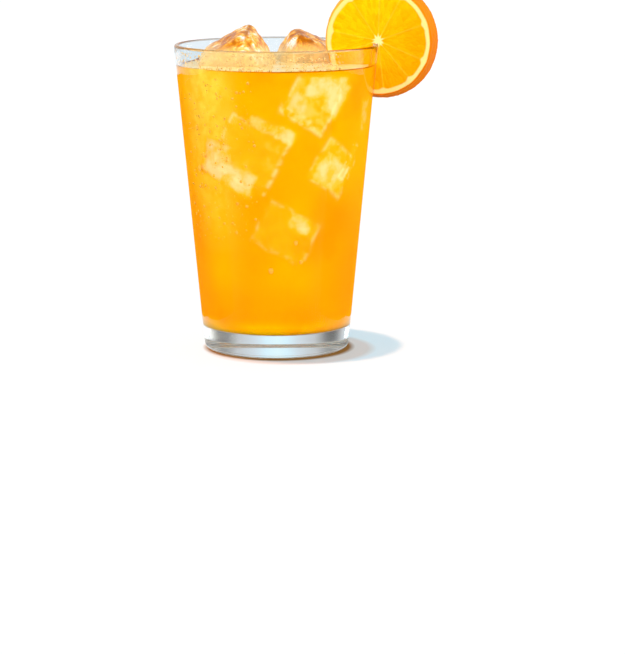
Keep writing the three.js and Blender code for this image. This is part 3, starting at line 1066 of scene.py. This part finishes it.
def slice_zones(radius, angle):
    """How much each point is zest, pith, membrane and core, and its sac's swell and tone."""
    apart = np.abs((angle[:, None] - membrane_angles + math.pi) % (2 * math.pi) - math.pi)
    nearest = apart.min(1) * radius
    wobble = np.array([
        noise.noise(Vector((r * WAVER_RATES[0], a * WAVER_RATES[1], 0))) for r, a in zip(radius, angle)
    ])
    zest = smooth_step(radius + wobble * ZEST_WAVER, ZEST_RADIUS - ZEST_BLUR, ZEST_RADIUS + ZEST_BLUR)
    notch = NOTCH_DEPTH * np.exp(-(nearest / NOTCH_WIDTH) ** 2)
    pith_edge = radius + notch + wobble * PITH_BLUR
    pith = smooth_step(pith_edge, FLESH_RADIUS - PITH_BLUR, FLESH_RADIUS + PITH_BLUR)
    membrane = 1 - smooth_step(nearest, *(MEMBRANE * share for share in MEMBRANE_BLUR))
    star = CORE_RADIUS * (1 + STAR_LENGTH * np.exp(-(nearest / STAR_WIDTH) ** 2))
    core = 1 - smooth_step(radius + wobble * CORE_WAVER, *(star * share for share in CORE_BLUR))
    swell = np.zeros(len(radius))
    tone = np.zeros(len(radius))
    for i, (r, a, w) in enumerate(zip(radius, angle, wobble)):
        spot = (r / SAC_LENGTH + SAC_WAVER * w, (a % (2 * math.pi)) / (2 * math.pi) * sac_columns, 0)
        first, second = sac_tree.find_n(spot, 2)
        swell[i] = min(1.0, (second[2] - first[2]) * SAC_EDGE)
        tone[i] = sac_tones[first[1]]
    return zest, pith, membrane, core, swell, tone


half_thickness = SLICE_THICKNESS / 2
flat_radius = SLICE_FRONT_RADIUS - RIND_ROUNDING
back_flat = SLICE_BACK_RADIUS - RIND_ROUNDING
round_depth = half_thickness - RIND_ROUNDING
profile = [(flat_radius * i / FRONT_RINGS, half_thickness) for i in range(FRONT_RINGS + 1)]
profile += arc((flat_radius, round_depth), RIND_ROUNDING, math.pi / 2, 0, ROUNDING_RINGS)[1:]
profile += [
    (
        SLICE_FRONT_RADIUS + (SLICE_BACK_RADIUS - SLICE_FRONT_RADIUS) * i / SIDE_RINGS,
        round_depth * (1 - 2 * i / SIDE_RINGS),
    )
    for i in range(1, SIDE_RINGS)
]
profile += arc((back_flat, -round_depth), RIND_ROUNDING, 0, -math.pi / 2, ROUNDING_RINGS)
profile += [(back_flat * i / BACK_RINGS, -half_thickness) for i in range(BACK_RINGS - 1, -1, -1)]
rings = np.array(profile[1:-1])
angles = np.arange(SLICE_STEPS) * 2 * math.pi / SLICE_STEPS
radius = np.repeat(rings[:, 0], SLICE_STEPS)
depth = np.repeat(rings[:, 1], SLICE_STEPS)
angle = np.tile(angles, len(rings))
_, pith, membrane, core, swell, _ = slice_zones(radius, angle)
face_edge = [half_thickness - margin for margin in FACE_MARGINS]
on_face = np.sign(depth) * smooth_step(np.abs(depth), *face_edge)
flesh = (1 - pith) * (1 - membrane) * (1 - core)
relief = -flesh * (FLESH_DEPTH - SAC_SWELL * swell)
depth = depth + on_face * relief
pores = np.array([
    noise.noise(Vector((r * math.cos(a), r * math.sin(a), d)) / PORE_WIDTH)
    for r, a, d in zip(radius, angle, depth)
])
radius = radius + PORE_DEPTH * pores * smooth_step(radius, ZEST_RADIUS, SLICE_FRONT_RADIUS)


def slice_place(radius, angle, depth):
    """Points of the slice's own frame in the drink."""
    across = np.outer(radius * np.cos(angle), slice_right) + np.outer(radius * np.sin(angle), slice_up)
    return SLICE_CENTRE + across + np.outer(depth, slice_front)


points = slice_place(radius, angle, depth)
poles = slice_place(np.zeros(2), np.zeros(2), np.array((half_thickness, -half_thickness)))
vertices = np.concatenate((points, poles))
faces = []
for ring in range(len(rings) - 1):
    for step in range(SLICE_STEPS):
        a = ring * SLICE_STEPS + step
        b = ring * SLICE_STEPS + (step + 1) % SLICE_STEPS
        faces.append((a, a + SLICE_STEPS, b + SLICE_STEPS, b))
last = (len(rings) - 1) * SLICE_STEPS
for step in range(SLICE_STEPS):
    following = (step + 1) % SLICE_STEPS
    faces.append((len(points), step, following))
    faces.append((len(points) + 1, last + following, last + step))

# Cut orange: wet translucent flesh, cream pith and waxy zest, with painted shade on the lower right
cut_orange, fruit_tree, fruit_output = new_material("cut_orange")
fruit_place = add_node(fruit_tree, "ShaderNodeTexCoord")


def zone(name):
    """The value of one of the slice's zones."""
    return add_node(fruit_tree, "ShaderNodeAttribute", attribute_name=name).outputs["Fac"]


fruit_colour = add_node(
    fruit_tree, "ShaderNodeMix",
    {0: zone("tone"), 6: linear("#FFA502"), 7: linear("#FFB806")}, data_type="RGBA",
)
# The deeper orange on the lower right of the flesh and the darker zest low on the right are painted shade
for layer, share, tint in (
    ("deep", 0.7, "#F68600"), ("membrane", 0.05, "#FFD870"), ("core", 0.8, "#FFE2A0"),
    ("pith", 1.0, "#FFCC80"), ("zest", 1.0, "#E09A18"), ("right_zest", 1.0, "#CE7600"),
    ("shaded_low_zest", 0.45, "#A84800"),
):
    weight = add_node(fruit_tree, "ShaderNodeMath", {0: zone(layer), 1: share}, operation="MULTIPLY")
    fruit_colour = add_node(
        fruit_tree, "ShaderNodeMix",
        {0: weight, 6: fruit_colour.outputs[2], 7: linear(tint)}, data_type="RGBA",
    )
fruit_grain = add_node(
    fruit_tree, "ShaderNodeTexNoise",
    {"Vector": fruit_place.outputs["Object"], "Scale": 1 / (0.9 * MM), "Detail": 3.0},
)
fruit_bump = add_node(
    fruit_tree, "ShaderNodeBump", {"Strength": 0.25, "Distance": 0.15 * MM, "Height": fruit_grain}
)
fruit_gloss = add_node(
    fruit_tree, "ShaderNodeMapRange", {"Value": zone("pith"), "To Min": 0.22, "To Max": 0.5}
)
fruit_surface = add_node(
    fruit_tree, "ShaderNodeBsdfPrincipled",
    {
        "Base Color": fruit_colour.outputs[2], "Roughness": fruit_gloss, "IOR": 1.36,
        "Subsurface Weight": 0.2, "Subsurface Radius": (3 * MM, 1.4 * MM, 0.4 * MM),
        "Subsurface Scale": 1.0, "Normal": fruit_bump,
        "Specular Tint": linear("#404040"), "Specular IOR Level": 0.15,
    },
)
fruit_tree.links.new(fruit_surface.outputs[0], fruit_output.inputs["Surface"])

orange_wheel = new_piece("orange_wheel", vertices, faces, cut_orange)
wall_gap = WALL + SLIT_CLEARANCE
cutter = turned(
    "slit_cutter",
    [
        (inner_radius(SLIT_BOTTOM) - SLIT_CLEARANCE, SLIT_BOTTOM),
        (inner_radius(SLIT_BOTTOM) + wall_gap, SLIT_BOTTOM),
        (inner_radius(SLIT_TOP) + wall_gap, SLIT_TOP),
        (inner_radius(SLIT_TOP) - SLIT_CLEARANCE, SLIT_TOP),
        (inner_radius(SLIT_BOTTOM) - SLIT_CLEARANCE, SLIT_BOTTOM),
    ],
    cut_orange,
)
cut_away(orange_wheel, cutter, cut_orange)
places = np.array([v.co for v in orange_wheel.data.vertices]) - SLICE_CENTRE
along, height = places @ slice_right, places @ slice_up
zest, pith, membrane, core, _, tone = slice_zones(np.hypot(along, height), np.arctan2(height, along))
right_zest = zest * smooth_step(along, *RIGHT_ZEST_REACH)
# Masks for the painted shade on the lower right are kept with the zones
for name, values in (
    ("zest", zest), ("pith", pith), ("membrane", membrane), ("core", core), ("tone", tone),
    ("deep", smooth_step(along - FLESH_SHADE_SLOPE * height, *FLESH_SHADE_REACH)), ("right_zest", right_zest),
    ("shaded_low_zest", right_zest * smooth_step(ZEST_SHADE_SLOPE * along - height, *ZEST_SHADE_REACH)),
):
    keep_values(orange_wheel, name, values)
orange_wheel.data.polygons.foreach_set("use_smooth", [True] * len(orange_wheel.data.polygons))
orange_wheel.data.set_sharp_from_angle(angle=SLICE_CREASE)
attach(orange_wheel, "root")
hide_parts("orange_slice")


# Condensation
# Water that the cold glass draws from the air: fine beads scattered over the left of the outer wall,
# and a few larger drops that have begun to run together.
BEAD_ROUND = (-70, -12)
BEAD_HEIGHT = (52 * MM, 124 * MM)
BEAD_DENSITY = 75000.0
BEAD_SIZES = (0.22 * MM, 0.75 * MM)
BEAD_FLATNESS = 0.6
BEAD_SUNK = 0.08
BEAD_SEED = 3
DROP_FLATNESS = 0.6
DROP_LENGTH = 1.25
# Larger drops: angle round from the front, height and half width
LARGE_DROPS = [
    (-55.4, 101, 0.9), (-50.5, 89.5, 1.0), (-56, 83.3, 1.2),
    (13.2, 52.3, 0.85), (-3.8, 40, 1.1), (17.1, 43.7, 0.8),
]

beading = bpy.data.node_groups.new("beads_on_a_wall", "GeometryNodeTree")
beading.interface.new_socket("Wall", in_out="INPUT", socket_type="NodeSocketGeometry")
bead_sockets = {
    name: beading.interface.new_socket(name, in_out="INPUT", socket_type=kind)
    for name, kind in (
        ("Density", "NodeSocketFloat"), ("Seed", "NodeSocketInt"), ("Smallest", "NodeSocketFloat"),
        ("Largest", "NodeSocketFloat"), ("Flatness", "NodeSocketFloat"), ("Sunk", "NodeSocketFloat"),
        ("Material", "NodeSocketMaterial"),
    )
}
beading.interface.new_socket("Beads", in_out="OUTPUT", socket_type="NodeSocketGeometry")
wanted = add_node(beading, "NodeGroupInput")
spots = add_node(
    beading, "GeometryNodeDistributePointsOnFaces",
    {"Mesh": wanted.outputs["Wall"], "Density": wanted.outputs["Density"], "Seed": wanted.outputs["Seed"]},
)
chance = add_node(
    beading, "FunctionNodeRandomValue", {"Seed": wanted.outputs["Seed"]}, data_type="FLOAT"
)
chance_share = add_node(beading, "ShaderNodeMath", {0: chance.outputs[1], 1: 3.0}, operation="POWER")
bead_size = add_node(
    beading, "ShaderNodeMapRange",
    {"Value": chance_share, "To Min": wanted.outputs["Smallest"], "To Max": wanted.outputs["Largest"]},
)
bead_depth = add_node(
    beading, "ShaderNodeMath", {0: bead_size, 1: wanted.outputs["Flatness"]}, operation="MULTIPLY"
)
bead_scale = add_node(
    beading, "ShaderNodeCombineXYZ",
    {"X": bead_size, "Y": bead_size, "Z": bead_depth},
)
bead = add_node(beading, "GeometryNodeMeshUVSphere", {"Segments": 12, "Rings": 8, "Radius": 1.0})
bead_place = add_node(beading, "GeometryNodeInputPosition")
bead_axes = add_node(beading, "ShaderNodeSeparateXYZ", {0: bead_place})
bead_floor = add_node(
    beading, "ShaderNodeMath", {0: bead_axes.outputs["Z"], 1: wanted.outputs["Sunk"]}, operation="MAXIMUM"
)
bead_moved = add_node(
    beading, "ShaderNodeCombineXYZ",
    {"X": bead_axes.outputs["X"], "Y": bead_axes.outputs["Y"], "Z": bead_floor},
)
bead_dome = add_node(
    beading, "GeometryNodeSetPosition", {"Geometry": bead.outputs["Mesh"], "Position": bead_moved}
)
placed = add_node(
    beading, "GeometryNodeInstanceOnPoints",
    {
        "Points": spots.outputs["Points"], "Instance": bead_dome,
        "Rotation": spots.outputs["Rotation"], "Scale": bead_scale,
    },
)
beads_made = add_node(beading, "GeometryNodeRealizeInstances", {"Geometry": placed})
beads_smooth = add_node(beading, "GeometryNodeSetShadeSmooth", {"Geometry": beads_made})
beads_done = add_node(
    beading, "GeometryNodeSetMaterial", {"Geometry": beads_smooth, "Material": wanted.outputs["Material"]}
)
add_node(beading, "NodeGroupOutput", {0: beads_done})


def wall_patch(name, radius_at, rounds, heights, columns=24, rows=12):
    """A patch of a wall between two angles from the front and two heights."""
    spots = []
    for row in range(rows + 1):
        height = heights[0] + (heights[1] - heights[0]) * row / rows
        radius = radius_at(height)
        for column in range(columns + 1):
            angle = math.radians(rounds[0] + (rounds[1] - rounds[0]) * column / columns)
            spots.append((radius * math.sin(angle), -radius * math.cos(angle), height))
    wide = columns + 1
    quads = [
        (r * wide + c, r * wide + c + 1, (r + 1) * wide + c + 1, (r + 1) * wide + c)
        for r in range(rows) for c in range(columns)
    ]
    return new_piece(name, spots, quads)


def beaded(piece, material, density, seed, sizes, flatness, sunk):
    """Turns a patch into the beads that sit on it."""
    modifier = piece.modifiers.new("beading", "NODES")
    modifier.node_group = beading
    values = (density, seed, *sizes, flatness, sunk, material)
    for socket, value in zip(bead_sockets.values(), values):
        modifier[socket.identifier] = value
    settle(piece, material)


# Condensed water: clear, and tinted by the juice behind it
water, water_tree, water_output = new_material("condensed_water")
water_surface = add_node(
    water_tree, "ShaderNodeBsdfPrincipled",
    {
        "Base Color": linear("#FFD050"), "Roughness": 0.02, "IOR": 1.33, "Transmission Weight": 0.6,
        "Specular Tint": linear("#707070"),
    },
)
water_tree.links.new(water_surface.outputs[0], water_output.inputs["Surface"])

beads = wall_patch("condensation_beads", lambda h: inner_radius(h) + WALL, BEAD_ROUND, BEAD_HEIGHT)
beaded(beads, water, BEAD_DENSITY, BEAD_SEED, BEAD_SIZES, BEAD_FLATNESS, -BEAD_SUNK)
shape = bmesh.new()
shape.from_mesh(beads.data)
for around, height, size in LARGE_DROPS:
    angle = math.radians(around)
    radius = inner_radius(height * MM) + WALL
    spin = Matrix.Rotation(angle, 4, "Z")
    stretch = Matrix.Diagonal((size * MM, size * DROP_FLATNESS * MM, size * DROP_LENGTH * MM, 1))
    spot = Matrix.Translation((radius * math.sin(angle), -radius * math.cos(angle), height * MM))
    made = bmesh.ops.create_uvsphere(shape, u_segments=24, v_segments=18, radius=1)["verts"]
    for vertex in made:
        vertex.co.y = min(vertex.co.y, BEAD_SUNK)
    bmesh.ops.transform(shape, matrix=spot @ spin @ stretch, verts=made)
for face in shape.faces:
    face.smooth = True
shape.to_mesh(beads.data)
shape.free()
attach(beads, "root")


# Bubbles
# Air left from pouring: a broken line of small bubbles
# that cling where the juice meets the wall.
BUBBLE_SIZES = (0.2 * MM, 0.75 * MM)
BUBBLE_DENSITY = 600000.0
BUBBLE_SEED = 5
BUBBLE_INSET = 0.4 * MM
BUBBLE_ROUND = (-58, 40)
BUBBLE_HEIGHT = (JUICE_LEVEL - 0.2 * MM, JUICE_LEVEL + 0.9 * MM)

# Thin films of juice round air: pale gold and glassy
bubble_film, bubble_tree, bubble_output = new_material("bubble_film")
bubble_surface = add_node(
    bubble_tree, "ShaderNodeBsdfPrincipled",
    {"Base Color": linear("#FFE3A0"), "Roughness": 0.05, "IOR": 1.33, "Transmission Weight": 0.8},
)
bubble_tree.links.new(bubble_surface.outputs[0], bubble_output.inputs["Surface"])

bubbles = wall_patch(
    "juice_bubbles", lambda h: inner_radius(h) - BUBBLE_INSET, BUBBLE_ROUND, BUBBLE_HEIGHT, 48, 1
)
beaded(bubbles, bubble_film, BUBBLE_DENSITY, BUBBLE_SEED, BUBBLE_SIZES, 1.0, -1.0)
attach(bubbles, "root")


# Splashes
# Small drops of juice and pulp that pouring left on the inside of the wall,
# between the juice and the rim.
SPLASH_SIZES = (0.2 * MM, 0.7 * MM)
SPLASH_DENSITY = 450000.0
SPLASH_SEED = 11
SPLASH_FLATNESS = 0.6
SPLASH_ROUND = (-85, 42)
SPLASH_HEIGHT = (JUICE_LEVEL + 0.6 * MM, GLASS_HEIGHT - 1.8 * MM)

# Juice in thin drops: pale amber and wet
juice_drop, drop_tree, drop_output = new_material("drops_of_juice")
drop_surface = add_node(
    drop_tree, "ShaderNodeBsdfPrincipled",
    {"Base Color": linear("#FFDC96"), "Roughness": 0.04, "IOR": 1.34, "Transmission Weight": 0.5},
)
drop_tree.links.new(drop_surface.outputs[0], drop_output.inputs["Surface"])

splashes = wall_patch("juice_splashes", inner_radius, SPLASH_ROUND, SPLASH_HEIGHT, 60, 4)
beaded(splashes, juice_drop, SPLASH_DENSITY, SPLASH_SEED, SPLASH_SIZES, SPLASH_FLATNESS, -1.0)
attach(splashes, "root")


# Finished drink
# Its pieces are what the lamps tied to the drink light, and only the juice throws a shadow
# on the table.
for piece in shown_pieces():
    drink.objects.link(piece)
shadow_makers.objects.link(juice)
